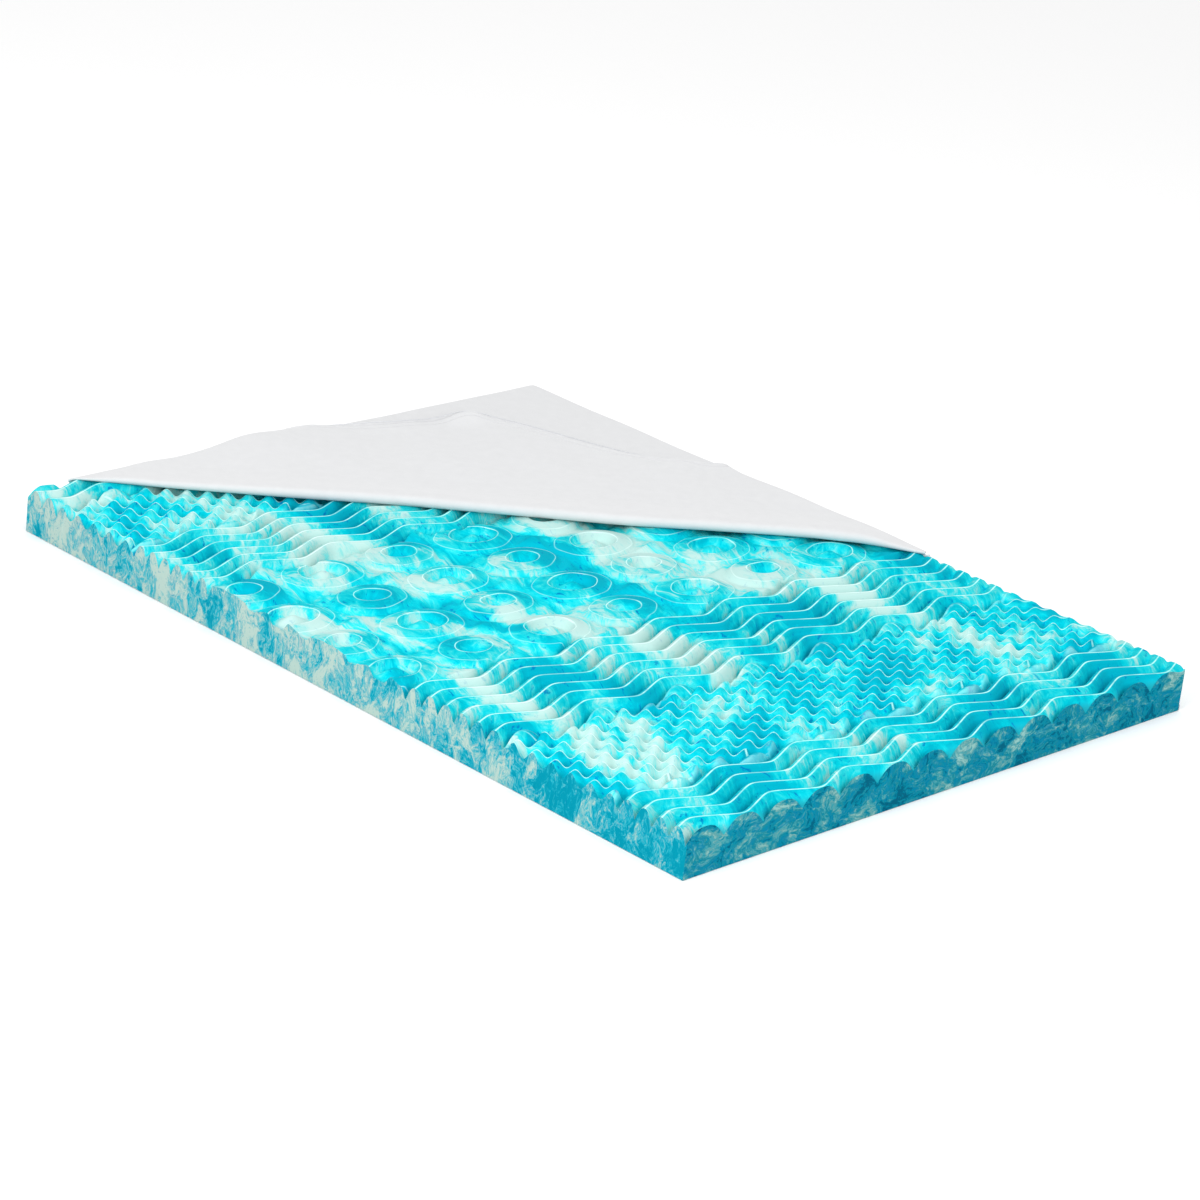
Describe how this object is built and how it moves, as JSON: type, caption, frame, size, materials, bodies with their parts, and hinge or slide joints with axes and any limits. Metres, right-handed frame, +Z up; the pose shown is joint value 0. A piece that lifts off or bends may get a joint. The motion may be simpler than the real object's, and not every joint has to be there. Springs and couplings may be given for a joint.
{
  "type": "memory foam mattress topper",
  "caption": "Convoluted gel-swirl memory foam slab with zoned ribs, egg-crate and rings, and a white zip cover turned back over one corner.",
  "frame": {"origin": "on the resting face, under the middle of the foam slab", "axes": "+X along the bed's length towards the bare short side, +Y across the width towards the long side that the cover still wraps, +Z up"},
  "size_m": [2.0395, 1.5337, 0.1246],
  "materials": {
    "gel_foam": "matte",
    "knit_cloth": "matte",
    "zip_tape": "matte",
    "zip_nylon": "satin",
    "zip_metal": "satin",
    "label_cloth": "matte"
  },
  "bodies": {
    "topper": {"foam_core": "gel_foam", "cover_bottom_panel": "knit_cloth", "cover_top_panel": "knit_cloth", "cover_side_band_long": "knit_cloth", "cover_side_band_short": "knit_cloth", "care_label": "label_cloth", "zip_tape_lower": "zip_tape", "zip_tape_band": "zip_tape", "zip_tape_tucked": "zip_tape", "zip_coil_lower": "zip_nylon", "zip_coil_band": "zip_nylon", "zip_coil_tucked": "zip_nylon", "zip_end_stop": "zip_metal"},
    "flap": {"cover_flap": "knit_cloth", "zip_tape_flap": "zip_tape", "zip_coil_flap": "zip_nylon"},
    "slider": {"zip_slider": "zip_metal"},
    "pull_tab": {"zip_pull_tab": "zip_metal"}
  },
  "joints": [
    {"name": "flap_fold", "type": "hinge", "parent": "topper", "child": "flap", "pos_m": [-0.44152, 0.12641, 0.1192], "axis": [0.6781, 0.7349, 0], "range_deg": [0, 165]},
    {"name": "slider_run", "type": "slide", "parent": "topper", "child": "slider", "axis": [-1, 0, 0], "range_m": [0, 0.6]},
    {"name": "pull_swing", "type": "hinge", "parent": "slider", "child": "pull_tab", "pos_m": [0.0951, 0.7698, 0.0177], "axis": [0, 0, -1], "range_deg": [0, 170]}
  ]
}
